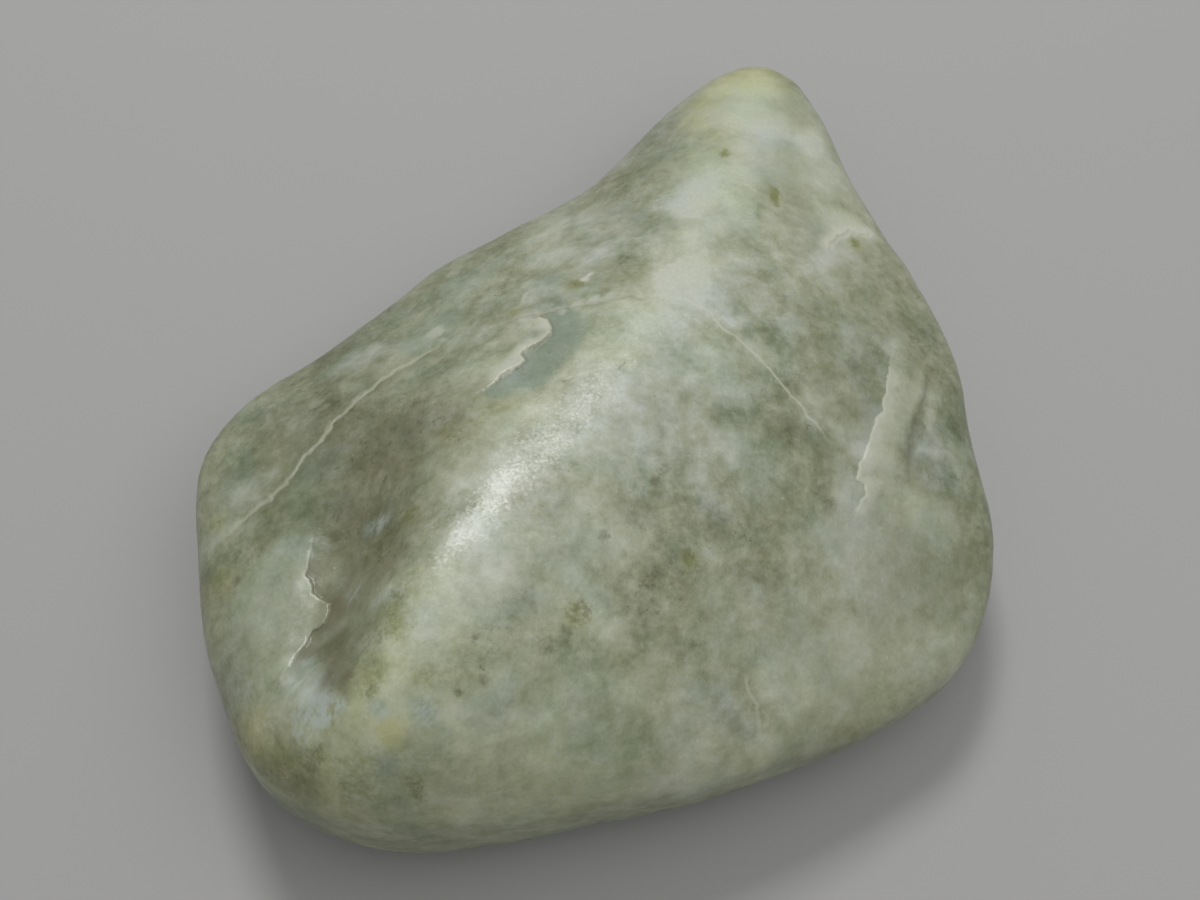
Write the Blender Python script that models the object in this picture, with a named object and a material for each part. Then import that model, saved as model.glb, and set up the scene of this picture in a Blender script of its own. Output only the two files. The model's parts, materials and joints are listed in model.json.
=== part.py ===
"""A waterworn jade boulder: one solid stone, lying on its flattest side.

Run it with blender --background --python part.py, or from Blender's text editor.
Metres, +Z up. +Y points to the thin end and +X to the broad smooth face. The origin is
under the middle of the stone, on the plane that it rests on.
"""

import math

import bmesh
import bpy
import numpy as np
from mathutils import Vector, noise

MM = 0.001

# The widest contour, seen from above and anticlockwise from +X: azimuth in degrees, then the
# reach from the centre and the height above the resting side in millimetres.
OUTLINE = (
    (2, 55.7, 15),
    (16, 57.0, 15),
    (31, 57.8, 15),
    (43, 60.2, 15),
    (53, 65.8, 15),
    (60, 72.3, 15),
    (66, 77.7, 15),
    (71, 77.7, 15),
    (75, 73.4, 15),
    (79, 66.5, 15),
    (84, 57.0, 15),
    (90, 49.5, 15),
    (98, 45.0, 15),
    (112, 42.0, 15),
    (129, 41.9, 15),
    (147, 43.3, 15),
    (161, 47.7, 16),
    (171, 54.1, 17),
    (180, 57.9, 18),
    (197, 60.0, 18),
    (215, 64.0, 18),
    (230, 67.4, 18),
    (241, 65.0, 17),
    (254, 59.0, 17),
    (268, 54.0, 16),
    (282, 52.2, 16),
    (298, 53.0, 16),
    (313, 56.3, 15),
    (329, 60.1, 15),
    (346, 58.8, 15),
)

# Broad faces: a point on each in millimetres, the azimuth that it falls towards and its
# slope, in degrees. The crest is where the right face meets the wall of the left flank.
RIGHT_FACE = ((-21.5, -14.5, 57.5), -27, 26.5)
RIGHT_SHOULDER = ((13, 20, 44.5), 25, 24)
THIN_END_FLANK = ((15.5, 36, 38), 130, 31)
THIN_END_TOP = ((19, 38, 38), 78, 12)
NEAR_END = ((-31, -48, 60), -98, 36)
LEFT_WALL = ((-21.5, -14.5, 57.5), 151, 61)
LEFT_WALL_NEAR_END = ((-28, -38, 58), 172, 57)
LEFT_BENCH = ((-35, -2, 35.5), 155, 22)
RESTING_SIDE = ((0, -5, -2.9), 90, -1.5)
THIN_END_HEEL = ((22, 34, 0), 75, -7.5)
RIGHT_HEEL = ((37, -20, 0), -20, -13)
FACE_WEAR = 3.5 * MM  # how far the meeting faces are rounded into each other
BENCH_WEAR = 2.5 * MM
EDGE_FULLNESS = 3.0  # exponent of the rounded rim: 2 is an ellipse, more is boxier

# The hollow worn where the wall meets the bench: x and y in millimetres along its floor.
TROUGH = ((-20, -3), (-27, -13), (-31.5, -22), (-33.5, -30), (-35, -38), (-36.5, -45))
TROUGH_DEPTH = 8.0 * MM
TROUGH_WIDTH = 6.5 * MM

# Scarps left by chips and healed cracks: x and y in millimetres along each edge, its drop
# and the run over which the lower side climbs back. The lower side is on the left of the
# edge, going along it.
LEDGES = {
    "upper chip": (
        ((-12, 13), (-7.6, 9.4), (-6.9, 6.2), (-9.8, 4.2), (-10.6, 2.4), (-14, 0), (-17, -2)),
        2.2,
        5,
    ),
    "left crack": (
        (
            (-23, 14),
            (-24, 10.6),
            (-28, 7.6),
            (-32.6, 4),
            (-36, -0.6),
            (-42, -10),
            (-48, -14.5),
            (-57, -17),
        ),
        1.2,
        5,
    ),
    "trough chip": (
        (
            (-41, -21.5),
            (-39.4, -25.5),
            (-38, -28.4),
            (-35.6, -29.4),
            (-36, -31.6),
            (-38.4, -34.4),
            (-43, -41),
        ),
        2.8,
        6,
    ),
    "right vein": (
        ((36.6, -8), (37.9, -3.6), (39.2, 0), (40.8, 3.6), (42.7, 9.6), (44, 13)),
        2.2,
        5,
    ),
    "right vein's far side": (
        ((49, 13), (47.6, 7), (45.4, 1), (43.6, -5), (42.4, -10)),
        0.7,
        5,
    ),
    "right shoulder nick": (
        ((39.5, 28.2), (38.3, 29.2), (34.5, 28.8), (32.7, 27.4), (32, 25.6)),
        0.9,
        3,
    ),
}
LEDGE_EDGE = 2.4 * MM  # how wide the edge itself is
LEDGE_SPREAD = 1.2  # how far it reaches from its middle, in half lengths
LEDGE_FADE = 0.65  # share of that distance over which it dies out

# Slow unevenness of the worn skin: its height, the distance between lumps and its seed.
SWELL = 0.5 * MM
SWELL_LENGTH = 26 * MM
SWELL_SEED = Vector((3.1, 8.7, 5.2))

SPHERE_LEVELS = 7  # subdivisions of the sphere that is drawn out into the stone
SOLID_TRIANGLES = 9400  # about how many are kept
LEAST_EDGE = 0.08 * MM  # points nearer than this are one
JADE_COLOR = (0.255, 0.292, 0.212, 1.0)
JADE_ROUGHNESS = 0.38


def smooth_least(values, width):
    """The least of several heights, rounded over where they cross."""
    return -width * np.log(np.sum(np.exp(-np.array(values) / width), axis=0))


def face_height(face, x, y):
    """The height at x, y of a plane through the face's point that falls towards its azimuth."""
    (px, py, pz), azimuth, slope = face
    a = math.radians(azimuth)
    run = (x - px * MM) * math.cos(a) + (y - py * MM) * math.sin(a)
    return pz * MM - math.tan(math.radians(slope)) * run


def around(azimuth, column):
    """A column of OUTLINE at any azimuth, by a closed Catmull-Rom curve through its points."""
    rows = np.array(OUTLINE, float)
    knots = np.radians(rows[:, 0])
    knots = np.concatenate([knots[-2:] - 2 * math.pi, knots, knots[:2] + 2 * math.pi])
    values = np.concatenate([rows[-2:, column], rows[:, column], rows[:2, column]]) * MM
    slopes = np.gradient(values, knots)
    azimuth = np.mod(azimuth, 2 * math.pi)
    i = np.clip(np.searchsorted(knots, azimuth) - 1, 0, len(knots) - 2)
    span = knots[i + 1] - knots[i]
    t = (azimuth - knots[i]) / span
    return (
        values[i] * (1 + 2 * t) * (1 - t) ** 2
        + values[i + 1] * t * t * (3 - 2 * t)
        + span * t * (1 - t) * (slopes[i] * (1 - t) - slopes[i + 1] * t)
    )


def along_line(line, x, y):
    """For an open line of points: the distance to it, negative on its right, and how far
    along it the nearest place is, from 0 to 1."""
    points = np.array(line, float) * MM
    steps = points[1:] - points[:-1]
    lengths = np.hypot(steps[:, 0], steps[:, 1])
    ends = np.concatenate([[0], np.cumsum(lengths)]) / lengths.sum()
    best = np.full(x.shape, np.inf)
    side = np.ones(x.shape)
    share = np.zeros(x.shape)
    for a, d, length, start, end in zip(points, steps, lengths, ends, ends[1:]):
        t = np.clip(((x - a[0]) * d[0] + (y - a[1]) * d[1]) / length**2, 0, 1)
        dx = x - a[0] - t * d[0]
        dy = y - a[1] - t * d[1]
        away = np.hypot(dx, dy)
        nearer = away < best
        best = np.where(nearer, away, best)
        side = np.where(nearer, np.sign(d[0] * (y - a[1]) - d[1] * (x - a[0])), side)
        share = np.where(nearer, start + t * (end - start), share)
    return best * side, share


def ease(t):
    t = np.clip(t, 0, 1)
    return t * t * (3 - 2 * t)


def ends_faded(share, start, end):
    return ease(share / start) * ease((1 - share) / end)


def ledge_drop(ledge, x, y):
    line, drop, run = ledge
    away, _ = along_line(line, x, y)
    lowered = ease(0.5 + away / LEDGE_EDGE) * np.exp(-np.maximum(away, 0) / (run * MM))
    places = np.array(line, float) * MM
    middle = (places.min(axis=0) + places.max(axis=0)) / 2
    half = np.hypot(*(places - middle).T).max()
    out = np.hypot(x - middle[0], y - middle[1]) / (LEDGE_SPREAD * half)
    return drop * MM * lowered * ease((1 - out) / LEDGE_FADE)


def upper_height(x, y):
    walls = [face_height(face, x, y) for face in (LEFT_WALL, LEFT_WALL_NEAR_END)]
    wall, bench = smooth_least(walls, FACE_WEAR), face_height(LEFT_BENCH, x, y)
    left_flank = -smooth_least([-wall, -bench], BENCH_WEAR)
    faces = (RIGHT_FACE, RIGHT_SHOULDER, THIN_END_FLANK, THIN_END_TOP, NEAR_END)
    height = smooth_least([face_height(f, x, y) for f in faces] + [left_flank], FACE_WEAR)
    away, share = along_line(TROUGH, x, y)
    height -= TROUGH_DEPTH * np.exp(-((away / TROUGH_WIDTH) ** 2)) * ends_faded(share, 0.6, 0.25)
    for ledge in LEDGES.values():
        height -= ledge_drop(ledge, x, y)
    return height


def lower_height(x, y):
    faces = (RESTING_SIDE, THIN_END_HEEL, RIGHT_HEEL)
    return -smooth_least([-face_height(f, x, y) for f in faces], FACE_WEAR)


def stone_points(directions):
    """Where the stone's surface lies for each unit vector from its middle."""
    azimuth = np.arctan2(directions[:, 1], directions[:, 0])
    flat = np.hypot(directions[:, 0], directions[:, 1])
    up = directions[:, 2]
    size = (flat**EDGE_FULLNESS + np.abs(up) ** EDGE_FULLNESS) ** (1 / EDGE_FULLNESS)
    reach = around(azimuth, 1) * flat / size
    rise = np.abs(up) / size
    x = reach * np.cos(azimuth)
    y = reach * np.sin(azimuth)
    rim = around(azimuth, 2)
    target = np.where(up > 0, upper_height(x, y), lower_height(x, y))
    z = rim + rise * (target - rim)
    return np.stack([x, y, z], axis=1)


def swell(points):
    """How far each point is lifted by the slow unevenness, from -SWELL to SWELL."""
    values = [noise.noise(Vector(p) / SWELL_LENGTH + SWELL_SEED) for p in points]
    return np.array(values) * SWELL


def dense_mesh():
    bm = bmesh.new()
    bmesh.ops.create_icosphere(bm, subdivisions=SPHERE_LEVELS, radius=1.0)
    directions = np.array([v.co[:] for v in bm.verts])
    directions /= np.linalg.norm(directions, axis=1)[:, None]
    for vertex, point in zip(bm.verts, stone_points(directions)):
        vertex.co = point
    bm.normal_update()
    lifts = swell([v.co for v in bm.verts])
    for vertex, lift in zip(bm.verts, lifts):
        vertex.co += vertex.normal * lift
    mesh = bpy.data.meshes.new("stone_surface")
    bm.to_mesh(mesh)
    bm.free()
    return mesh


def thinned(mesh, triangles):
    """The same surface with about this many triangles, fewest where it is flattest."""
    obj = bpy.data.objects.new("stone_surface", mesh)
    bpy.context.scene.collection.objects.link(obj)
    decimate = obj.modifiers.new("thin", "DECIMATE")
    decimate.ratio = triangles / len(mesh.polygons)
    graph = bpy.context.evaluated_depsgraph_get()
    thin = bpy.data.meshes.new_from_object(obj.evaluated_get(graph))
    bpy.data.objects.remove(obj)
    return thin


def rest_flat(bm):
    """Cuts the stone flat at z = 0 and closes the cut with one face, its resting face."""
    bmesh.ops.bisect_plane(
        bm,
        geom=bm.verts[:] + bm.edges[:] + bm.faces[:],
        dist=LEAST_EDGE,
        plane_no=(0, 0, 1),
        use_snap_center=True,
        clear_inner=True,
    )
    bmesh.ops.remove_doubles(bm, verts=bm.verts[:], dist=LEAST_EDGE)
    rim = [edge for edge in bm.edges if edge.is_boundary]
    bmesh.ops.holes_fill(bm, edges=rim, sides=0)


def centre(bm):
    """Moves the stone sideways so that the origin is under the middle of its box."""
    places = np.array([v.co[:] for v in bm.verts])
    middle = (places.min(axis=0) + places.max(axis=0)) / 2
    bmesh.ops.translate(bm, vec=(-middle[0], -middle[1], 0), verts=bm.verts[:])


def jade():
    material = bpy.data.materials.new("jade")
    material.use_nodes = True
    shader = material.node_tree.nodes["Principled BSDF"]
    shader.inputs["Base Color"].default_value = JADE_COLOR
    shader.inputs["Roughness"].default_value = JADE_ROUGHNESS
    shader.inputs["Metallic"].default_value = 0.0
    return material


def main():
    for obj in list(bpy.data.objects):
        bpy.data.objects.remove(obj)
    bm = bmesh.new()
    bm.from_mesh(thinned(dense_mesh(), SOLID_TRIANGLES))
    rest_flat(bm)
    centre(bm)
    mesh = bpy.data.meshes.new("jade_boulder")
    bm.to_mesh(mesh)
    bm.free()
    mesh.shade_smooth()
    mesh.set_sharp_from_angle(angle=math.radians(40))
    mesh.materials.append(jade())
    collection = bpy.data.collections.new("jade boulder")
    bpy.context.scene.collection.children.link(collection)
    collection.objects.link(bpy.data.objects.new("jade_boulder", mesh))


main()
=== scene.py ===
"""The looks of a waterworn jade boulder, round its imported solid.

The stone's skin is drawn again from the same faces as its solid, finely enough for its chips
and cracks, and takes a procedural jade whose markings lie where the stone has them. The tables
give places and sizes in millimetres and angles in degrees, in the stone's own plan, with +Y
towards its thin end. place() then moves the finished skin sideways onto the solid.
"""

import json
import math

import bmesh
import bpy
import numpy as np
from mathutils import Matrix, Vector, noise

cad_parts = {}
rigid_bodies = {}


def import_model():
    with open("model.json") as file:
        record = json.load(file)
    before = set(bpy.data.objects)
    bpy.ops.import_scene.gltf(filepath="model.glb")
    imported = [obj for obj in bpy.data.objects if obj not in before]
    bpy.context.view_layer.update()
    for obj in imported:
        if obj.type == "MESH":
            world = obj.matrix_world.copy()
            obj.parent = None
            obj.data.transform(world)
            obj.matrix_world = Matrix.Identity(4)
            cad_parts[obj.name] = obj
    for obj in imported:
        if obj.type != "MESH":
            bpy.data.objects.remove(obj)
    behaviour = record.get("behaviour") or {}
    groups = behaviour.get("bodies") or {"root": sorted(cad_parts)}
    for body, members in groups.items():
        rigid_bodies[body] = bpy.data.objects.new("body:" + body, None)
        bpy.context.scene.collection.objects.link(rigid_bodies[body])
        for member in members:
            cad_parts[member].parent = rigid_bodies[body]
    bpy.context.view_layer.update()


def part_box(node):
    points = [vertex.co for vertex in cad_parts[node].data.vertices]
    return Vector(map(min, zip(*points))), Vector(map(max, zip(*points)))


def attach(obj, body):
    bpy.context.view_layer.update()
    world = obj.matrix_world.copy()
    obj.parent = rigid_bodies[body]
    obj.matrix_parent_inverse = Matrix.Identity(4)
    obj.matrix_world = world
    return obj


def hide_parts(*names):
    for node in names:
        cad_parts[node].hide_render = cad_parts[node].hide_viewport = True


MM = 0.001

# ---------------------------------------------------------------- the stone's shape

# The widest contour, anticlockwise from +X: azimuth in degrees, reach and height.
OUTLINE = (
    (2, 55.7, 15),
    (16, 57.0, 15),
    (31, 57.8, 15),
    (43, 60.2, 15),
    (53, 65.8, 15),
    (60, 72.3, 15),
    (66, 77.7, 15),
    (71, 77.7, 15),
    (75, 73.4, 15),
    (79, 66.5, 15),
    (84, 57.0, 15),
    (90, 49.5, 15),
    (98, 45.0, 15),
    (112, 42.0, 15),
    (129, 41.9, 15),
    (147, 43.3, 15),
    (161, 47.7, 16),
    (171, 54.1, 17),
    (180, 57.9, 18),
    (197, 60.0, 18),
    (215, 64.0, 18),
    (230, 67.4, 18),
    (241, 65.0, 17),
    (254, 59.0, 17),
    (268, 54.0, 16),
    (282, 52.2, 16),
    (298, 53.0, 16),
    (313, 56.3, 15),
    (329, 60.1, 15),
    (346, 58.8, 15),
)

# Broad faces: a point on each, the azimuth that it falls towards and its slope.
RIGHT_FACE = ((-21.5, -14.5, 57.5), -27, 26.5)
RIGHT_SHOULDER = ((13, 20, 44.5), 25, 24)
THIN_END_FLANK = ((15.5, 36, 38), 130, 31)
THIN_END_TOP = ((19, 38, 38), 78, 12)
NEAR_END = ((-31, -48, 60), -98, 36)
LEFT_WALL = ((-21.5, -14.5, 57.5), 151, 61)
LEFT_WALL_NEAR_END = ((-28, -38, 58), 172, 57)
LEFT_BENCH = ((-35, -2, 35.5), 155, 22)
RESTING_SIDE = ((0, -5, -2.9), 90, -1.5)
THIN_END_HEEL = ((22, 34, 0), 75, -7.5)
RIGHT_HEEL = ((37, -20, 0), -20, -13)
FACE_WEAR = 3.5 * MM  # how far the meeting faces are rounded into each other
BENCH_WEAR = 2.5 * MM
EDGE_FULLNESS = 3.0  # exponent of the rounded rim: 2 is an ellipse, more is boxier

# The hollow worn where the wall meets the bench, along its floor.
TROUGH = ((-20, -3), (-27, -13), (-31.5, -22), (-33.5, -30), (-35, -38), (-36.5, -45))
TROUGH_DEPTH = 8.0 * MM
TROUGH_WIDTH = 6.5 * MM
TROUGH_ENDS = (0.6, 0.25)  # shares of its length over which it fades in and out

# The broken edges and the cracks. A broken edge has its lower side on the left of its line.
UPPER_CHIP = (
    (-10.6, 11.9),
    (-9, 11.9),
    (-7.6, 10.9),
    (-6.9, 9.6),
    (-6.7, 8.3),
    (-7.3, 7.2),
    (-8.5, 6.2),
    (-9.7, 5.5),
    (-10.9, 4.3),
    (-10.2, 3.2),
    (-10.7, 2.2),
    (-12.4, 1.2),
    (-13.6, 0.3),
    (-14.2, -0.7),
    (-17, -2),
)
LEFT_CRACK = (
    (-23, 14),
    (-23.3, 10.6),
    (-25.6, 9),
    (-28.4, 7.6),
    (-31, 6),
    (-35, 2.3),
    (-37.7, -1),
    (-39.2, -4.2),
    (-42, -7.2),
    (-43.5, -10),
    (-46.2, -12.6),
    (-50, -14.8),
    (-56, -18.5),
)
TROUGH_CHIP = (
    (-38.8, -21),
    (-39.1, -23.5),
    (-39.1, -25.2),
    (-38.3, -27),
    (-37.3, -28.3),
    (-35.7, -29),
    (-35.9, -30.4),
    (-36.3, -31.7),
    (-37.6, -33),
    (-38.8, -34.7),
    (-40.1, -37),
    (-41.2, -40),
)
VEIN_EDGE = (
    (35, -16.5),
    (35.4, -14.3),
    (36.8, -12),
    (37, -10.4),
    (35.7, -10),
    (35.7, -8.8),
    (37.1, -5.6),
    (38.1, -3.5),
    (38.8, -0.3),
    (40.1, 1.1),
    (41.2, 5.9),
    (42.1, 9.8),
    (43, 13),
)
VEIN_FAR_EDGE = ((48.5, 11), (46.7, 4.5), (45.2, 1.5), (44.2, -1.5), (43.6, -5), (43.2, -9.5))
NICK = (
    (42.8, 36.8),
    (41.5, 35.3),
    (40, 34.3),
    (38.4, 34),
    (36.9, 33.1),
    (35.6, 31.3),
    (34.6, 29.5),
    (33.8, 27),
)
HEALED_CRACK = (
    (8, 13.8),
    (12, 13.5),
    (15, 11.6),
    (17, 9),
    (20.3, 6.4),
    (23, 3.8),
    (25.7, 1),
    (28.3, -1.6),
    (31, -4.4),
    (33, -7.5),
)
WAVY_CRACK = (
    (8.4, 13.9),
    (6, 13.3),
    (4.2, 14),
    (1.8, 13.6),
    (-0.4, 13.1),
    (-2.8, 12.9),
    (-5.6, 13),
    (-8, 12.4),
    (-11.3, 12.8),
    (-14.2, 12.1),
    (-17, 11),
)

# Broken edges: the line, its drop and how far its lower side reaches.
LEDGES = {
    "upper chip": (UPPER_CHIP, 0.75, 9),
    "left crack": (LEFT_CRACK, 0.15, 8),
    "trough chip": (TROUGH_CHIP, 0.4, 9),
    "right vein": (VEIN_EDGE, 0.2, 8),
    "right vein's far side": (VEIN_FAR_EDGE, 0.3, 8),
    "right shoulder nick": (NICK, 0.5, 5),
}
LEDGE_EDGE = 0.5 * MM  # how wide the edge itself is
LEDGE_CLIMB = 0.7  # power of the curve on which the lower side climbs back
LEDGE_SPREAD = 1.2  # how far it reaches from its middle, in half lengths
LEDGE_FADE = 0.65  # share of that distance over which it dies out
SAME_DISTANCE = 1e-6 * MM  # distances to two steps of a line that differ by less are equal

# Slow unevenness of the worn skin, as on the solid, and the finer lumps on top of it.
SWELL = 0.5 * MM
SWELL_LENGTH = 26 * MM
SWELL_SEED = Vector((3.1, 8.7, 5.2))
LUMPS = 0.16 * MM
LUMP_LENGTH = 9 * MM
LUMP_SEED = Vector((7.4, 2.9, 1.6))
LUMP_FRACTAL = (0.9, 2.1, 4)  # fractal increment, ratio of scales and octaves

# How lines and patches wander from the places in the tables.
RAGGED = 0.45 * MM  # broken edges and other sharp markings
RAGGED_LENGTH = 2.0 * MM
RAGGED_SEED = Vector((1.3, 4.8, 9.9))
WANDER = 3.0 * MM  # soft patches
WANDER_LENGTH = 9 * MM
WANDER_SEED = Vector((5.5, 0.7, 3.3))
WANDER_OCTAVES = 3
NOISE_SEED = 1  # turbulence_vector starts from the clock unless it is given a seed

SPHERE_LEVELS = 7
REFINED_WITHIN = (3.4 * MM, 1.8 * MM, 0.6 * MM)  # from a broken edge or crack, a halving each
LEAST_EDGE = 0.02 * MM  # points nearer than this to the cut are moved onto it
INSET = 0.04 * MM  # keeps the skin's lumps inside the solid's box

# ---------------------------------------------------------------- the stone's markings

# Pale lips and cracks, and dark lines, mostly painted shade on the lower side of broken edges
# and cracks: the line, its reach to its left and to its right, and its strength.
PALE_LINES = (
    (HEALED_CRACK, 0.3, 0.35, 0.5),
    (WAVY_CRACK, 0.35, 0.4, 0.35),
    (LEFT_CRACK, 0.4, 0.7, 0.4),
    (UPPER_CHIP, 0.15, 2.0, 0.7),
    (TROUGH_CHIP, 0.1, 3.0, 0.12),
    (VEIN_EDGE, 0.2, 2.4, 0.6),
    (NICK, 0.6, 2.2, 0.85),
    (((-2.6, 18.3), (-1.9, 19.4), (-1, 20.5)), 0.7, 1.0, 0.9),
    (((-11, 18.5), (-10.8, 16.8), (-10.8, 15.2)), 0.5, 0.6, 0.45),
    (((19, -37.5), (19.4, -39.5), (20.8, -41.5), (21.3, -45.6)), 0.4, 0.4, 0.35),
    (((48.2, 4.5), (47.8, 2.5), (47.4, 0)), 0.9, 0.9, 0.35),
    (((-19, -46), (-15.5, -46.3), (-12, -47)), 0.6, 0.6, 0.3),
)
SHADE_AND_DARK_LINES = (
    (WAVY_CRACK, 0.7, 0.2, 0.35),
    (VEIN_FAR_EDGE, 1.3, 1.0, 0.4),
    (LEFT_CRACK, 1.4, 0.1, 0.3),
    (UPPER_CHIP, 0.7, 0.1, 0.4),
    (TROUGH_CHIP, 3.0, 0.1, 0.65),
    (((-29.2, -12.5), (-29.6, -17), (-30.2, -22)), 0.5, 0.3, 0.5),
    (((-28.2, -9), (-27.6, -12.5), (-28.4, -16)), 0.9, 0.5, 0.35),
    (((-5.3, -1.3), (-4.2, -1.8), (-3, -1.3)), 0.25, 0.25, 0.45),
    (((3.4, 1.8), (2.3, 0.1)), 0.25, 0.25, 0.45),
)

LINE_ENDS = (0.12, 0.2)  # shares of its length, as TROUGH_ENDS
FAR_ACROSS = 2.0  # how many reaches from a line it marks nothing any more
LAST_FADE = (0.85, 0.2)  # where its strength ends and over how much, as shares of FAR_ACROSS

# The pale vein's middle line, half its width and its soft edge.
VEIN = (
    (46.3, 15),
    (45.4, 10.5),
    (44.2, 5.5),
    (42.1, 0.5),
    (40.4, -3.3),
    (39.4, -8),
    (39.2, -12.5),
    (38, -17),
)
VEIN_HALF_WIDTH = 3.0
VEIN_SOFT_EDGE = 2.0
VEIN_ENDS = (0.35, 0.35)

# The top of the long rounded crest, where the grain shows most and where the tone is painted
# lighter, a painted highlight over paler worn jade.
CREST = (
    (23.5, 54),
    (22.3, 49),
    (19, 36.6),
    (16, 27),
    (13, 20.5),
    (7, 10),
    (1.4, 3),
    (-3, -2),
    (-8, -9),
    (-12.2, -15.3),
    (-15.8, -22),
    (-18.7, -29),
    (-21.6, -35),
    (-24, -41),
    (-26, -46),
)
CREST_WIDTH = 6.0
CREST_ENDS = (0.3, 0.12)

# The smooth blue-green face that broke off below the upper chip's lip: its width at the
# middle of the lip, and its soft edges at the lip and away from it.
FACET_WIDTH = 7.0
FACET_SOFT_EDGES = (0.3, 3.0)
FACET_ENDS = (0.2, 0.12)

UPWARD = (-0.15, 0.25)  # values of z of the normals, between which all the markings come in

# Soft patches: x, y, radius and strength.
# Partly paler jade, partly painted light: the thin end's tip, lit from behind, and the highlight
# along the crest.
PALE_AND_PAINTED_LIGHT_PATCHES = (
    (24, 64, 8, 1.7),
    (23, 55, 9, 1.5),
    (33, 52, 5, 2.0),
    (23, 46, 6, 1.3),
    (34, 47, 7, 1.3),
    (17, 40, 6, 1.2),
    (12, 37, 4, 0.9),
    (16, 35, 5, 2.0),
    (21, 32, 3, 0.9),
    (13, 18, 6, 1.5),
    (-1, 24, 4, 1.2),
    (17, 17, 4, 1.0),
    (20, 21, 3, 1.1),
    (26, 14, 2.5, 0.8),
    (26, 17, 4, 0.7),
    (26, 28, 7, 0.7),
    (36, 35, 4, 1.4),
    (35, 27, 4, 1.3),
    (32, 24, 4, 0.7),
    (37, 14, 3, 0.9),
    (43, 14, 3, 0.8),
    (47.5, 6, 2.5, 1.1),
    (50, -2, 3, 0.7),
    (45, -14, 4, 0.9),
    (36, 32, 2.5, 1.3),
    (35, 24, 3, 0.6),
    (-7, 26, 5, 1.2),
    (-10.5, 5, 3, 1.3),
    (-9, 8.5, 2, 1.0),
    (-7, 17, 3, 0.8),
    (-13.5, 1.5, 3, 1.1),
    (-8, 33, 6, 1.1),
    (2, 29, 4, 0.9),
    (7, 25, 4, 1.0),
    (22, 42, 4, 1.2),
    (18, 13, 3, 0.9),
    (14, 5, 3, 1.0),
    (23, 5.5, 3, 0.8),
    (2, 32, 6, 0.7),
    (-11, 17, 3, 0.9),
    (8, 9, 8, 0.8),
    (8, 2, 4, 0.9),
    (12, 1, 3, 1.0),
    (4, 0, 6, 0.7),
    (2, -6, 3, 0.9),
    (13, -2, 3, 0.8),
    (17, 0.5, 4, 0.9),
    (22, 0, 2.5, 0.6),
    (11, -6, 4, 0.7),
    (18, -9, 4, 1.2),
    (34, -1, 5, 0.9),
    (30.5, 2, 3, 1.1),
    (-11, 9, 4, 1.0),
    (-15, 1, 5, 0.8),
    (-8.5, -8.5, 4, 1.2),
    (-15, -13.5, 4, 0.8),
    (-17, -19, 2, 0.6),
    (2, -12, 7, 0.8),
    (7, -13, 3, 1.0),
    (-2, -22, 6, 0.6),
    (37.5, -4, 3, 1.2),
    (34, -13, 4, 1.1),
    (34, -17, 6, 0.8),
    (27, -26, 5, 0.5),
    (26.3, -22, 3, 0.75),
    (33, -31, 6, 0.8),
    (27, -38, 7, 0.8),
    (23, -37, 3, 1.0),
    (45, -37, 8, 0.9),
    (16, -32, 5, 0.5),
    (17, -40, 4, 1.0),
    (12, -46, 5, 0.9),
    (20, -45.5, 4, 1.4),
    (8, -50, 4, 1.2),
    (13, -50, 4, 1.7),
    (0, -50, 6, 1.0),
    (-3, -44, 5, 1.0),
    (4, -43, 5, 0.9),
    (12, -44, 4, 1.1),
    (8, -37, 4, 0.4),
    (-4, -32, 4, 1.1),
    (-8, -41, 4, 0.7),
    (-17, -46, 6, 1.2),
    (-9, -47, 4, 1.3),
    (-4, -47, 3, 1.0),
    (-20, -35, 5, 0.5),
    (-8, -36, 2.5, 0.6),
    (-12, -30, 5, 0.9),
    (-16, -28, 4, 0.8),
    (-16, -52, 9, 0.9),
    (2, -53, 8, 0.8),
    (-8, -52, 7, 1.3),
    (-24.5, -45.5, 3.5, 1.6),
    (-25, -41.5, 3, 0.9),
    (-30, -50.5, 5, 1.6),
    (-25, -47.5, 3, 1.6),
    (-36, -47.2, 3, 1.6),
    (-31, -48.3, 2.5, 1.3),
    (-38.5, -47, 3, 1.0),
    (-39.5, -38, 2.5, 1.7),
    (-37, -43, 2.5, 1.6),
    (-42, -44, 3, 1.0),
    (-26, -31, 4, 0.9),
    (-31.5, -27, 2.5, 0.8),
    (-52, -16, 3, 1.2),
    (-45, -30, 5, 0.8),
    (-44, -22, 4, 0.9),
    (-29, 11, 4, 1.1),
    (-35, 12, 3, 1.2),
    (-17, 12, 3, 0.7),
    (-25, 13, 4, 0.8),
    (-18, 22, 4, 0.7),
    (-13, -2.5, 3, 1.2),
    (-51, -11, 3.5, 1.2),
    (-33.6, -32, 1.8, 1.0),
    (-35, 5, 2.5, 0.8),
    (-25.6, -48.4, 2.6, 2.2),
    (-37, -48, 3, 1.6),
    (-20, -47, 3, 1.0),
    (-29, -53, 4, 0.9),
    (-5, -49, 5, 1.3),
    (-12, -47, 3, 0.9),
    (10, -46, 3, 0.9),
    (26.5, -9.3, 2.2, 0.5),
    (16, -15, 3, 0.9),
    (22, 14.5, 2.5, 1.0),
    (14, 25, 3, 1.2),
    (1.5, -33, 2.4, 1.2),
    (32, -22, 3, 0.8),
    (15, -39, 2, 0.8),
    (-9, 8, 1.6, 1.0),
    (-12, -10, 3, 0.7),
    (17.5, 3, 3, 0.7),
    (-12.5, -43, 3, 1.0),
    (-9.5, 7, 2.2, 1.3),
    (18, 11, 2.5, 1.0),
    (38.5, -6, 2, 0.8),
    (-13, -1, 2, 1.1),
    (-13, -48, 4, 1.1),
    (17, -47, 4, 0.9),
)
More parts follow.
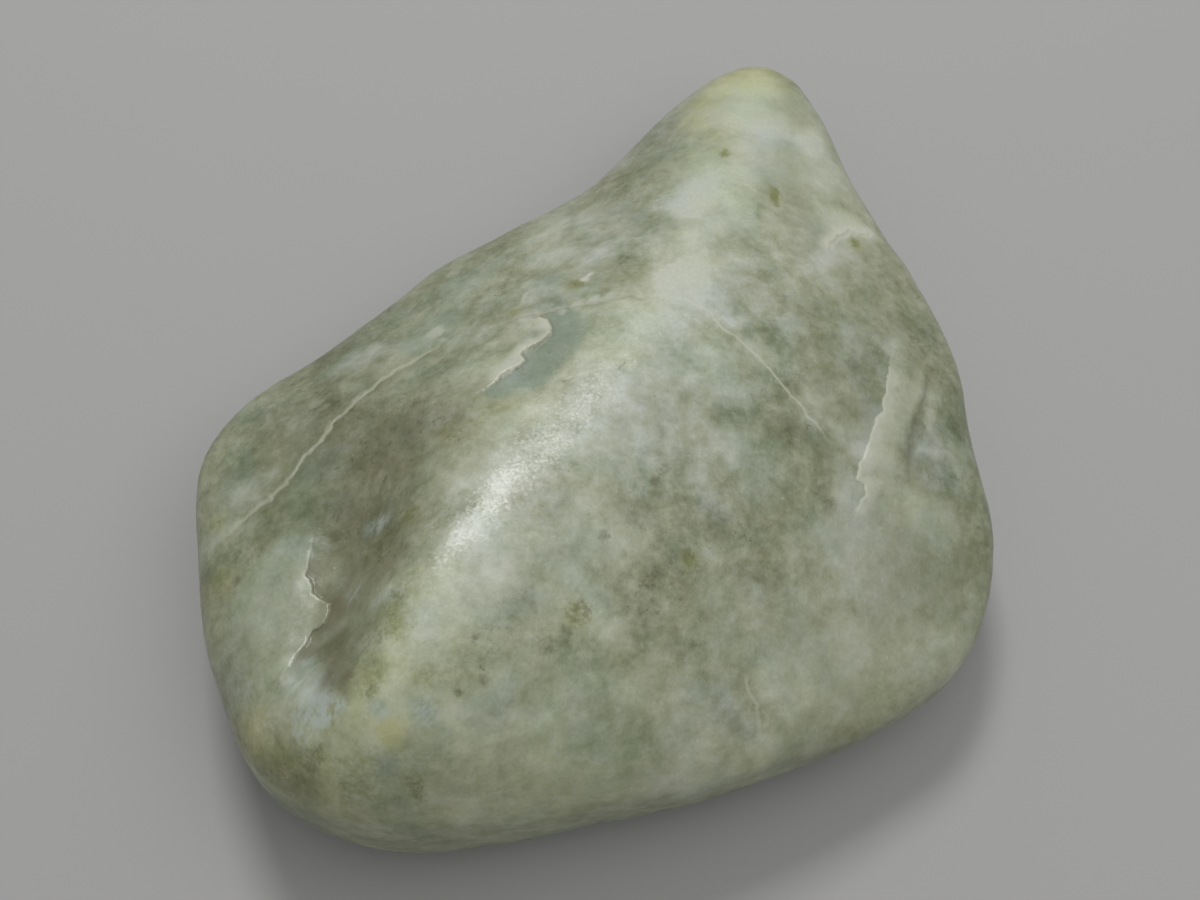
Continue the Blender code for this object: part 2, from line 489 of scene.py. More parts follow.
# Partly deeper jade, partly painted shade where the back-left rim curves away.
GREEN_AND_RIM_SHADE_PATCHES = (
    (6, -16, 5, 0.7),
    (8, -25, 4, 0.5),
    (17, -19, 4, 0.7),
    (23, -21, 4, 0.6),
    (18, -16, 2.5, 0.8),
    (22.5, -1.5, 2.5, 1.0),
    (18, -5, 2, 0.6),
    (20.5, -9, 2, 0.8),
    (26.5, -7.5, 4, 1.1),
    (26.5, 3.5, 3, 1.1),
    (33, 1.5, 2.5, 0.8),
    (37, 23, 3, 0.8),
    (16, -8, 2, 0.6),
    (24, 12, 4, 0.9),
    (21, 10, 2.5, 0.6),
    (29, -12.5, 3, 0.8),
    (22, 19, 2, 0.4),
    (9, 37, 3, 0.6),
    (24, 33, 1.5, 0.6),
    (4, 21, 3, 0.8),
    (5, 29, 3, 0.5),
    (2, 43, 4, 0.9),
    (-15, 21, 3, 0.8),
    (31, -4, 2.5, 0.7),
    (10, 54, 5, 0.6),
    (19.5, -40, 2, 0.5),
    (7, -30, 5, 0.6),
    (5, -34, 3, 0.6),
    (-6, -37.8, 2, 0.5),
    (-16, -40, 3, 0.7),
    (-27, -43, 3, 0.8),
    (-28, -26, 3, 0.8),
    (-24, -33, 3, 0.5),
    (-8, -10, 5, 0.5),
    (-27, -22, 4, 1.2),
    (-17.5, -24, 3, 0.9),
    (-10, -4, 4, 0.6),
    (-9, -33.5, 2, 0.4),
    (52, 6, 7, 0.8),
    (44, -5, 4, 0.4),
    (51, -14, 7, 0.8),
    (48, 16, 6, 0.7),
    (35, 16, 4, 0.6),
    (-37, 4, 6, 1.5),
    (-29, -4, 7, 0.7),
    (-30, 16, 4, 0.6),
    (-39, -9, 4, 0.9),
    (-47, -3, 7, 0.8),
    (-38, 16, 8, 1.1),
    (-10, 24, 4, 0.8),
    (-14, 33, 6, 0.8),
    (-48, -17, 7, 0.8),
    (-28, -26, 5, 0.5),
    (-37, -17, 5, 0.8),
    (-34, -36.5, 3, 1.1),
    (-31, -7, 5, 0.9),
    (-22, 4, 4, 0.5),
    (-15.5, -21.5, 2.2, 0.6),
    (18.5, -7, 2.5, 0.9),
    (24.5, 8.5, 2, 0.8),
    (21.5, 23.5, 1.6, 0.5),
    (9, -13, 2, 0.8),
    # Painted shade at the next two, where the back-left rim curves away.
    (-30, 13, 3, 0.6),
    (-44, 6, 4, 0.6),
    (-27, -35, 4, 0.3),
    (45, -37, 5, 0.6),
    (18, -42, 2, 0.6),
    (5, -42, 3, 0.5),
    (44, 9, 3, 0.5),
    (17.5, -16, 2.4, 0.7),
    (3, -32, 2, 0.6),
    (27, -15, 3, 0.5),
    (-15.5, -22.5, 1.8, 0.8),
    (45, 10, 3, 0.4),
)
CALM_PATCHES = (
    (25, 58, 12, 1.1),
    (29, 45, 9, 1.0),
    (19, 45, 6, 0.9),
    (44, -22, 13, 0.8),
    (33, -36, 10, 0.7),
    (16, 30, 6, 0.6),
    (34, 32, 7, 0.8),
    (8, 44, 6, 0.5),
    (-46, -8, 9, 0.6),
    (-44, -30, 9, 0.6),
    (40, 0, 8, 0.5),
    (-25.6, -48.6, 2.6, 1.0),
    (38, 22, 8, 0.45),
    (30, 16, 7, 0.35),
    (-33, 12, 7, 0.4),
)
COOL_PATCHES = (
    (5, -6, 9, 0.8),
    (13, 2, 9, 0.9),
    (17, 16, 8, 0.8),
    (26, 13, 5, 0.7),
    (14, -12, 7, 0.6),
    (34, 28, 7, 0.6),
    (27, 49, 7, 0.8),
    (12, 57, 5, 1.6),
    (8, 50, 5, 0.9),
    (14, 37, 5, 0.7),
    (5, 33, 6, 0.6),
    (0, 25, 5, 0.5),
    (37.5, -2, 4, 1.0),
    (36, -9, 4, 0.8),
    (38, 8, 6, 0.7),
    (40, 14, 7, 0.6),
    (47.5, -6, 4, 1.8),
    (48.5, 0, 3.5, 1.4),
    (46, -12, 4, 0.9),
    (-15, -27, 6, 0.6),
    (-10, -18, 7, 0.6),
    (31, 4, 4, 0.5),
    (42, -20, 12, 0.7),
    (46, -34, 7, 0.4),
    (-8, 13, 4, 0.6),
    (-12, 1, 3, 0.7),
    (-46, -10, 4, 0.5),
    (-44, 3, 6, 0.8),
    (-36, 11, 4, 0.9),
    (-43, -22, 5, 0.8),
    (-40, -33, 4, 0.4),
    (-12, -1, 3, 1.1),
    (-22, -7, 3, 0.8),
    (-5, 7, 3, 0.7),
    (16, -17, 2.5, 1.1),
    (3, -19, 3, 0.6),
    (38, 2.5, 3, 1.5),
    (38, -7, 2.5, 1.0),
    (-49, -9, 5, 0.8),
    (-38, -8, 5, 0.9),
    (-34, -16, 3, 0.9),
    (-27, -32, 2.5, 0.9),
    (-22, -38, 2.5, 0.9),
    (-28, -40, 2.5, 0.8),
    (-35.5, -43.5, 2.8, 1.5),
    (-49, -39, 4, 0.6),
    (-12, -45, 3.5, 0.7),
    (-1, -45, 3, 0.6),
    (16.5, -42, 4, 1.1),
    (20, -27, 3, 0.6),
    (28, -3, 4, 0.7),
    (12, -7, 3, 0.5),
    (29, 5, 3, 0.7),
    (40.5, 3.5, 2.2, 1.0),
    (45.6, -5, 2.4, 1.2),
    (-47, -11, 3, 0.7),
    (34, -38, 3, 0.6),
    (-9, -33, 2.6, 0.7),
    (15, -18, 2.2, 0.6),
)
YELLOW_PATCHES = (
    (-5, -52, 16, 0.9),
    (-32, -50, 12, 1.0),
    (20, -50, 12, 0.7),
    (-44, -42, 8, 0.5),
    (-22, -40, 9, 0.8),
    (-27, -33, 6, 0.8),
    (-3, -38, 8, 0.5),
    (42, -42, 9, 0.6),
    (24, 63, 10, 0.8),
    (17, 48, 6, 0.7),
    (21, 36, 4, 0.7),
    (14, 23, 4, 0.5),
    (4, 10, 6, 0.4),
    (-12, -6, 6, 0.5),
    (-22, -14, 5, 0.5),
    (-18, 2, 5, 0.4),
    (-46, -26, 5, 0.4),
    (37, 37, 5, 0.5),
    (-38, -52, 8, 0.9),
    (16, 43, 6, 1.0),
    (14, 4, 5, 0.7),
    (6, 8, 4, 0.5),
    (13, 20, 3, 0.5),
    (-15, 3.5, 3, 0.8),
    (-26, -22, 3, 0.8),
    (-12, -26, 3, 0.5),
    (-46, -23, 4, 0.8),
    (44.5, -13, 3, 0.9),
    (30, 47, 5, 0.6),
    (-5, -60, 22, 1.0),
    (-40, -49, 6, 1.1),
    (21, 57, 6, 0.6),
    (2, 5, 5, 0.5),
    (16, 20, 5, 0.5),
    (-15, -39.5, 3, 0.6),
    (-3, -41, 3, 0.6),
)
WARM_PATCHES = (
    (45, -20, 16, 0.6),
    (40, 25, 12, 0.4),
    (32, 8, 8, 0.4),
    (-27, -22, 6, 0.7),
    (-22, -4, 8, 0.5),
    (-24, -40, 5, 0.8),
    (-42, -52, 10, 0.9),
    (10, 50, 10, 0.4),
)
# Painted shade in the hollow and on the trough chip's wall, over jade that is browner there.
SHADOW_PATCHES = (
    (-29, -9, 8, 0.9),
    (-34, -3, 7, 0.7),
    (-20, -2, 6, 0.3),
    (-33, -20, 6, 0.8),
    (-32, -26, 4, 0.9),
    (-33, -30, 4, 0.9),
    (-33.3, -36.5, 4, 1.2),
    (-32.6, -39.5, 2.8, 1.3),
    (-31.6, -42.3, 1.9, 1.3),
    (-28, -25, 3, 0.4),
    (-25.5, -23.5, 3, 0.6),
    (-33.6, -41.8, 2.2, 1.5),
    (-31, -43.6, 1.8, 1.0),
)
OCHRE_PATCHES = (
    (14, 56, 4, 0.9),
    (16.5, 60.5, 3.5, 1.0),
    (19, 64, 4, 0.8),
    (23, 69, 5, 1.2),
    (27, 70, 5, 1.0),
    (31, 68, 5, 0.6),
    (-3.4, 18, 1.4, 1.0),
    (-12.3, 14.2, 1.0, 0.9),
    (-3, -0.6, 3.5, 0.4),
    (1, 3, 4, 0.3),
    (-8.6, 11.5, 2.2, 0.6),
    (-10.3, 8.8, 1.5, 0.5),
    (-46, -46, 5, 0.9),
    (-31, -48, 6, 0.5),
    (-36, -50, 8, 0.5),
    (-20, -50, 10, 0.4),
    (-26, -41, 7, 0.45),
    (-20, -34, 8, 0.3),
    (-17, -42, 6, 0.4),
    (-42, -51, 6, 0.8),
    (-34, -54, 7, 0.7),
    (-22, -58, 8, 0.5),
    (-4, -57, 9, 0.5),
    (0, -50, 9, 0.35),
    (18, -48, 9, 0.4),
    (38, -42, 7, 0.35),
    (-4, -35, 5, 0.3),
    (22, 68, 6, 0.9),
    (28, 67, 6, 0.7),
    (18, 52, 5, 0.4),
    (7, 8, 4, 0.25),
    (-12, -4, 4, 0.4),
    (-25.6, -48.6, 2.4, 1.0),
    (-25.4, -38, 3.5, 0.5),
    (-21, -42.5, 1.6, 0.5),
    (-24.5, -20.5, 2.4, 0.6),
    (-20, -8.5, 3, 0.5),
    (-53, -23, 3.5, 0.8),
    (-54, -13.5, 2.5, 0.7),
    (26.2, 36.5, 1.6, 0.7),
    (19.2, 45.5, 1.6, 0.7),
    (-2.9, -33.8, 2.0, 1.0),
    (6.5, -28.8, 1.4, 0.8),
    (11.6, -25.2, 1.6, 0.8),
    (39, 31.6, 2.2, 0.7),
)
BLUE_PATCHES = (
    (-38.3, -38.2, 2.3, 0.9),
    (-35.8, -41, 1.6, 0.6),
    (-35, -44.5, 2.5, 0.3),
    (-27, -46.4, 1.3, 0.9),
    (-26.5, -52, 1.8, 0.9),
    (-21.5, -46.5, 1.6, 0.7),
    (-19.5, -48.5, 1.6, 0.5),
    (-22.5, 17, 2.5, 0.8),
    (-27, 12, 3, 0.7),
    (-7, 19.5, 3, 0.7),
    (-21, 24, 4, 0.6),
    (5, 31, 2, 0.7),
    (-30.5, -19.5, 1.8, 0.8),
    (-40.5, -20.5, 3, 0.5),
    (0, -31.5, 2, 0.5),
)
# Painted glints, streaks of painted highlight on the chips at the near end of the hollow.
GLINT_PATCHES = (
    (-32.2, -45.6, 1.0, 0.8),
    (-33.8, -46.4, 1.5, 1.0),
    (-35, -46.2, 1.5, 0.9),
    (-36.5, -43.6, 1.4, 0.6),
    (-38, -38, 1.8, 0.4),
    (-31.7, -28.8, 1.1, 0.6),
    (-29.2, -19.2, 1.4, 0.6),
    (-21.5, -46.5, 1.4, 0.6),
    (-27, -46.6, 1.1, 0.6),
    (-35, -46, 2.2, 0.8),
    (-37, -46.5, 2.2, 0.9),
    (-38.5, -41, 1.8, 0.7),
)
WHITE_SPOTS = (
    (9.2, 1, 0.9, 0.5),
    (11.5, 16, 1.8, 0.7),
    (14, 22, 1.8, 0.7),
    (16, 28, 1.8, 0.6),
    (9.7, -3.5, 1.1, 0.6),
    (15.5, -8, 1.6, 0.6),
    (17.7, -10.8, 1.1, 0.7),
    (14.5, -24, 1.3, 0.6),
    (20.3, -27.5, 1.5, 0.6),
    (20.9, -31.5, 1.5, 0.6),
    (27, -30, 1.6, 0.5),
    (31, -22, 1.8, 0.5),
    (0, -11, 1.8, 0.4),
    (-23.9, 14.1, 1.5, 1.2),
    (-22.6, 12, 0.9, 0.7),
    (-10.6, 12, 1.0, 1.3),
    (-8.4, 9.6, 1.3, 0.8),
    (-6, 27, 2.0, 0.6),
    (-7, 31, 1.5, 0.6),
    (-3.6, 26, 1.8, 0.5),
    (-39.8, -26, 1.6, 0.8),
    (-40.3, -39.8, 1.4, 0.9),
    (-34.6, -44.4, 1.6, 0.8),
    (-29.2, -19.2, 1.0, 0.5),
    (-46, -8, 1.6, 0.4),
    (-44, 0, 1.8, 0.4),
    (-33.5, -12, 1.2, 0.4),
    (34.4, 29.6, 1.8, 0.8),
    (36.6, 33.6, 1.4, 1.1),
    (41.8, 36, 1.3, 1.1),
    (-5.5, 12.3, 0.9, 0.9),
    (-3.3, 13.2, 1.0, 1.0),
    (-0.7, 13.6, 1.1, 1.0),
    (1.2, 14.3, 0.8, 0.9),
    (-9, 12.6, 0.7, 0.9),
)
DARK_SPOTS = (
    (6.5, -28.5, 1.5, 1.0),
    (-2.6, -33.5, 2.4, 0.8),
    (-4.2, -36, 1.8, 0.7),
    (8.2, -13.8, 1.3, 0.8),
    (7.3, -15.8, 1.2, 0.9),
    (4.6, -17.5, 3.0, 0.45),
    (0.6, -24, 1.3, 0.8),
    (11, -24.5, 1.3, 0.8),
    (12.6, -26, 1.2, 0.7),
    (13.8, -22.3, 0.7, 0.9),
    (16, -19, 2.5, 0.5),
    (31, -14, 2.4, 0.6),
    (22.6, -1, 1.6, 0.6),
    (-35.5, -19.5, 1.2, 1.0),
    (-38, -25.8, 1.3, 0.6),
    (-15.5, -38, 1.0, 0.8),
    (-14.5, -42.5, 1.0, 0.7),
    (-17.5, -44, 0.9, 0.7),
    (-39, 3.5, 2.4, 0.6),
    (-24.5, -20.5, 2.0, 0.7),
    (-25, -33, 2.4, 0.6),
    (26.2, 36.5, 1.4, 0.6),
    (19.2, 45.6, 1.0, 0.6),
    (-26.5, -37.5, 2.4, 0.6),
    (-28, -44.5, 1.8, 0.6),
    (-19, -14.5, 1.2, 0.5),
    (-21, -10, 1.5, 0.6),
    (-49.5, -24, 1.0, 0.8),
    (-3, 18, 1.0, 0.7),
    (-6.5, -38, 1.9, 0.7),
    (3, 21, 2.4, 0.5),
    (5, 28.5, 2.0, 0.5),
    (-19, 17, 1.5, 0.6),
    (-14, 22, 1.8, 0.5),
    (0, 42, 2.2, 0.6),
    (-23, -54, 1.6, 0.7),
    (-36, -51, 2.6, 0.6),
    (-32, -54, 2.0, 0.5),
    (39, 31.4, 1.7, 0.6),
)
OLIVE_FLECKS = (
    (26.4, 38.4, 1.0, 1.5),
    (26.2, 36.7, 1.0, 1.5),
    (26.1, 35.1, 1.0, 1.4),
    (19.2, 45.5, 1.5, 1.4),
    (38.6, 32, 1.8, 1.2),
    (-26, -36, 4.5, 1.0),
    (-24.5, -30.5, 3.5, 0.9),
    (-24.3, -21, 2.8, 1.0),
    (-20.5, -9, 3, 0.8),
    (-18.5, -14, 2, 0.6),
    (-22, -25, 3, 0.7),
    (-37, -51, 6, 0.9),
    (-30, -53, 6, 0.9),
    (-23, -54, 2.5, 1.0),
    (-21, -42.5, 2.5, 0.9),
    (-27.5, -43, 3, 1.0),
    (-43, -46, 4, 0.8),
    (11.8, -25.3, 2, 1.0),
    (-3, -34, 3, 0.8),
    (-52, -22, 3, 0.7),
    (-12, -56, 8, 0.6),
    (5, -30, 5, 0.4),
    (-9, 9.5, 2, 0.5),
)

# ---------------------------------------------------------------- jade's colours and gloss

# Albedo as sRGB, from deep to pale: once where the jade is olive and once where it is greener.
OLIVE_TONES = (
    (0.15, (98, 101, 67)),
    (0.42, (138, 141, 110)),
    (0.6, (162, 165, 139)),
    (0.9, (194, 197, 179)),
)
GREEN_TONES = (
    (0.15, (91, 101, 70)),
    (0.42, (128, 138, 112)),
    (0.6, (154, 162, 140)),
    (0.9, (188, 194, 178)),
)
SHADOW_COLOR = (106, 103, 79)
DARK_FLECK = (84, 84, 52)
OLIVE_FLECK = (118, 126, 70)
# Painted sparkle.
PAINTED_SPARKLE_COLOR = (212, 210, 192)
VEIN_COLOR = (181, 185, 163)
LIP_COLOR = (204, 205, 188)
# Mostly painted shade on the lower side of broken edges and cracks.
EDGE_SHADE_AND_DARK_LINE_COLOR = (106, 103, 78)
BLUE_COLOR = (132, 147, 131)
GLINT_COLOR = (196, 210, 208)
WHITE_COLOR = (186, 191, 176)

# What multiplies the colour beneath, as linear shares.
OCHRE_TINT = (1.0, 0.955, 0.74, 1.0)
COOL_TINT = (0.97, 0.99, 1.18, 1.0)
YELLOW_TINT = (0.97, 1.0, 0.86, 1.0)

# Stains broken up by noise: the marking, what its unevenness starts from, the shares of middle
# and of fine noise in it, the limits between which the stain comes in, its strength and colour.
SMALL_STAINS = (
    ("blue", 0.0, 1.3, 0.7, 0.1, 1.1, 0.65, BLUE_COLOR),
    ("white", -0.1, 1.1, 1.1, 0.1, 1.0, 0.8, WHITE_COLOR),
    ("spots", -0.6, 0.8, 2.4, 0.3, 0.9, 0.6, DARK_FLECK),
)

STREAKS_AZIMUTH = 68  # of the brown streaks in the hollow
GLINTS_AZIMUTH = 48
STREAK_STRETCH = 4

COLOR_GRAIN = 0.32  # the size of the crystal grains that vary the colour
GLOSS_GRAIN = 0.3  # and of those that tilt the surface
GRAIN_TILT = 0.04
CREST_GRAIN_TILT = 0.07  # more of it on the worn crest
DENT_DEPTH = 0.05 * MM
LEAST_ROUGHNESS = 0.24
MORE_ROUGHNESS = 0.2  # what its noise adds at most
IOR = 1.6
SUBSURFACE = 0.25
SUBSURFACE_RADIUS = (1.0, 1.1, 0.8)
SUBSURFACE_DEPTH = 1.5 * MM

# ---------------------------------------------------------------- the studio and the camera

FLOOR_COLOR = (0.39, 0.39, 0.385, 1.0)
FLOOR_ROUGHNESS = 0.8
FLOOR_SIZE = 6
ROOM_COLOR = (0.82, 0.82, 0.80, 1.0)
ROOM_STRENGTH = 0.31

# Square softboxes: name, place and size in metres, and power in watts.
SOFTBOXES = (("soft_light", (0.3, -0.12, 0.95), 1.0, 3.7), ("lamp", (-0.08, 0.42, 0.75), 0.22, 3.1))

CAMERA_AIM = (0, 0, 20)  # in the stone's plan, in mm
CAMERA_DISTANCE = 245.1 * MM
CAMERA_ELEVATION = 64
LENS = 50
SENSOR = 36
NEAREST_SEEN = 0.01


# ---------------------------------------------------------------- shape


def smooth_least(values, width):
    """The least of several heights, rounded over where they cross."""
    return -width * np.log(np.sum(np.exp(-np.array(values) / width), axis=0))


def face_height(face, x, y):
    """The height at x, y of a plane through the face's point that falls towards its azimuth."""
    (px, py, pz), azimuth, slope = face
    a = math.radians(azimuth)
    run = (x - px * MM) * math.cos(a) + (y - py * MM) * math.sin(a)
    return pz * MM - math.tan(math.radians(slope)) * run


def around(azimuth, column):
    """A column of OUTLINE at any azimuth, by a smooth closed curve through its points."""
    rows = np.array(OUTLINE, float)
    knots = np.radians(rows[:, 0])
    knots = np.concatenate([knots[-2:] - 2 * math.pi, knots, knots[:2] + 2 * math.pi])
    values = np.concatenate([rows[-2:, column], rows[:, column], rows[:2, column]]) * MM
    slopes = np.gradient(values, knots)
    azimuth = np.mod(azimuth, 2 * math.pi)
    i = np.clip(np.searchsorted(knots, azimuth) - 1, 0, len(knots) - 2)
    span = knots[i + 1] - knots[i]
    t = (azimuth - knots[i]) / span
    return (
        values[i] * (1 + 2 * t) * (1 - t) ** 2
        + values[i + 1] * t * t * (3 - 2 * t)
        + span * t * (1 - t) * (slopes[i] * (1 - t) - slopes[i + 1] * t)
    )


def along_line(line, x, y):
    """For an open line of points: the distance to it, negative on its right, and how far
    along it the nearest place is, from 0 to 1."""
    points = np.array(line, float) * MM
    steps = points[1:] - points[:-1]
    lengths = np.hypot(steps[:, 0], steps[:, 1])
    ends = np.concatenate([[0], np.cumsum(lengths)]) / lengths.sum()
    best = np.full(x.shape, np.inf)
    offset = np.zeros(x.shape)
    share = np.zeros(x.shape)
    for a, d, length, start, end in zip(points, steps, lengths, ends, ends[1:]):
        t = np.clip(((x - a[0]) * d[0] + (y - a[1]) * d[1]) / length**2, 0, 1)
        away = np.hypot(x - a[0] - t * d[0], y - a[1] - t * d[1])
        left = (d[0] * (y - a[1]) - d[1] * (x - a[0])) / length
        at_corner = np.abs(away - best) < SAME_DISTANCE
        nearer = np.where(at_corner, np.abs(left) > np.abs(offset), away < best)
        best = np.where(nearer, away, best)
        offset = np.where(nearer, left, offset)
        share = np.where(nearer, start + t * (end - start), share)
    return np.where(offset < 0, -best, best), share


def ease(t):
    """0 below 0 and 1 above 1, eased between them."""
    t = np.clip(t, 0, 1)
    return t * t * (3 - 2 * t)


def ends_faded(share, ends):
    """1 along a line, but fading to 0 over these shares of its length at its two ends."""
    start, end = ends
    return ease(share / start) * ease((1 - share) / end)


def ledge_drop(ledge, x, y):
    """How far a broken edge lowers the surface at x, y."""
    line, drop, run = ledge
    away, _ = along_line(line, x, y)
    lowered = ease(0.5 + away / LEDGE_EDGE) * ease(1 - away / (run * MM)) ** LEDGE_CLIMB
    places = np.array(line, float) * MM
    middle = (places.min(axis=0) + places.max(axis=0)) / 2
    half = np.hypot(*(places - middle).T).max()
    out = np.hypot(x - middle[0], y - middle[1]) / (LEDGE_SPREAD * half)
    return drop * MM * lowered * ease((1 - out) / LEDGE_FADE)


def upper_height(x, y, ragged_x, ragged_y):
    """The height of the upper side at x, y, whose broken edges are read at the ragged places."""
    walls = [face_height(face, x, y) for face in (LEFT_WALL, LEFT_WALL_NEAR_END)]
    wall, bench = smooth_least(walls, FACE_WEAR), face_height(LEFT_BENCH, x, y)
    left_flank = -smooth_least([-wall, -bench], BENCH_WEAR)
    faces = (RIGHT_FACE, RIGHT_SHOULDER, THIN_END_FLANK, THIN_END_TOP, NEAR_END)
    height = smooth_least([face_height(f, x, y) for f in faces] + [left_flank], FACE_WEAR)
    away, share = along_line(TROUGH, x, y)
    height -= TROUGH_DEPTH * np.exp(-((away / TROUGH_WIDTH) ** 2)) * ends_faded(share, TROUGH_ENDS)
    for ledge in LEDGES.values():
        height -= ledge_drop(ledge, ragged_x, ragged_y)
    return height


def lower_height(x, y):
    faces = (RESTING_SIDE, THIN_END_HEEL, RIGHT_HEEL)
    return -smooth_least([-face_height(f, x, y) for f in faces], FACE_WEAR)


def moved_about(x, y, amount, length, seed):
    """x and y moved about a little, so that a line or edge through them looks natural."""
    places = [Vector((a, b, 0)) / length + seed for a, b in zip(x, y)]
    moves = np.array([noise.turbulence_vector(p, WANDER_OCTAVES, False)[:2] for p in places])
    return x + moves[:, 0] * amount, y + moves[:, 1] * amount


def stone_points(directions):
    """Where the stone's surface lies for each unit vector from its middle."""
    azimuth = np.arctan2(directions[:, 1], directions[:, 0])
    flat = np.hypot(directions[:, 0], directions[:, 1])
    up = directions[:, 2]
    size = (flat**EDGE_FULLNESS + np.abs(up) ** EDGE_FULLNESS) ** (1 / EDGE_FULLNESS)
    reach = around(azimuth, 1) * flat / size
    rise = np.abs(up) / size
    x = reach * np.cos(azimuth)
    y = reach * np.sin(azimuth)
    rim = around(azimuth, 2)
    top = upper_height(x, y, *moved_about(x, y, RAGGED, RAGGED_LENGTH, RAGGED_SEED))
    z = rim + rise * (np.where(up > 0, top, lower_height(x, y)) - rim)
    return np.stack([x, y, z], axis=1)


def unevenness(points):
    """How far each point is lifted by the swell and the finer lumps."""
    slow = [noise.noise(Vector(p) / SWELL_LENGTH + SWELL_SEED) for p in points]
    fine = [noise.fractal(Vector(p) / LUMP_LENGTH + LUMP_SEED, *LUMP_FRACTAL) for p in points]
    return np.array(slow) * SWELL + np.array(fine) * LUMPS


# ---------------------------------------------------------------- mesh


def directions_of(bm):
    directions = np.array([v.co[:] for v in bm.verts])
    return directions / np.linalg.norm(directions, axis=1)[:, None]


def line_distance(x, y):
    """The distance to the nearest broken edge or crack."""
    lines = [line for line, *_ in (*LEDGES.values(), *PALE_LINES, *SHADE_AND_DARK_LINES)]
    return np.min([np.abs(along_line(line, x, y)[0]) for line in lines], axis=0)


def refined_sphere():
    """A sphere whose faces are small where the stone has broken edges and cracks."""
    bm = bmesh.new()
    bmesh.ops.create_icosphere(bm, subdivisions=SPHERE_LEVELS, radius=1.0)
    for reach in REFINED_WITHIN:
        directions = directions_of(bm)
        places = stone_points(directions)
        near = (line_distance(places[:, 0], places[:, 1]) < reach) & (directions[:, 2] > 0)
        edges = [e for e in bm.edges if near[e.verts[0].index] and near[e.verts[1].index]]
        bmesh.ops.subdivide_edges(bm, edges=edges, cuts=1, use_grid_fill=True)
        bmesh.ops.triangulate(bm, faces=[f for f in bm.faces if len(f.verts) > 3])
        bm.verts.index_update()
    return bm


def rest_flat(bm):
    """Cuts the stone flat at z = 0 and closes the cut with one face, its resting face."""
    bmesh.ops.bisect_plane(
        bm,
        geom=bm.verts[:] + bm.edges[:] + bm.faces[:],
        dist=LEAST_EDGE,
        plane_no=(0, 0, 1),
        use_snap_center=True,
        clear_inner=True,
    )
    rim = [edge for edge in bm.edges if edge.is_boundary]
    bmesh.ops.holes_fill(bm, edges=rim, sides=0)


def skin_mesh():
    bm = refined_sphere()
    for vertex, point in zip(bm.verts, stone_points(directions_of(bm))):
        vertex.co = point
    bm.normal_update()
    for vertex, lift in zip(bm.verts, unevenness([v.co for v in bm.verts])):
        vertex.co += vertex.normal * (lift - INSET)
    rest_flat(bm)
    bm.normal_update()
    mesh = bpy.data.meshes.new("jade_skin")
    bm.to_mesh(mesh)
    bm.free()
    mesh.shade_smooth()
    return mesh


# ---------------------------------------------------------------- markings


def patches(rows, x, y):
    """The strongest soft patch at each place: its own strength at its middle, less further out."""
    cover = np.zeros(x.shape)
    for px, py, radius, strength in rows:
        away = np.hypot(x - px * MM, y - py * MM) / (radius * MM)
        cover = np.maximum(cover, strength * np.exp(-(away**2)))
    return cover


def nearest_line(rows, x, y):
    """The line that marks each place most: how many of its reaches to the left of it the place
    lies, or to the right if negative, and the line's strength there."""
    across = np.full(x.shape, FAR_ACROSS)
    strength = np.zeros(x.shape)
    for line, left, right, most in rows:
        away, share = along_line(line, x, y)
        here = np.clip(away / (np.where(away > 0, left, right) * MM), -FAR_ACROSS, FAR_ACROSS)
        faded = most * ends_faded(share, LINE_ENDS)
        stronger = faded - np.abs(here) > strength - np.abs(across)
        across = np.where(stronger, here, across)
        strength = np.where(stronger, faded, strength)
    end, fade = LAST_FADE
    return across, strength * ease((end * FAR_ACROSS - np.abs(across)) / (fade * FAR_ACROSS))


def vein_cover(x, y):
    away, share = along_line(VEIN, x, y)
    across = ease((VEIN_HALF_WIDTH * MM - np.abs(away)) / (VEIN_SOFT_EDGE * MM))
    return across * ends_faded(share, VEIN_ENDS)


def facet_cover(x, y):
    """The flat face below the upper chip's lip, half as wide at the ends of the lip."""
    away, share = along_line(UPPER_CHIP, x, y)
    width = FACET_WIDTH * MM * (0.5 + 2 * share * (1 - share))
    at_lip, at_far_side = FACET_SOFT_EDGES
    across = ease(away / (at_lip * MM)) * ease((width - away) / (at_far_side * MM))
    return across * ends_faded(share, FACET_ENDS)


def crest_cover(x, y):
    away, share = along_line(CREST, x, y)
    return np.exp(-((away / (CREST_WIDTH * MM)) ** 2)) * ends_faded(share, CREST_ENDS)


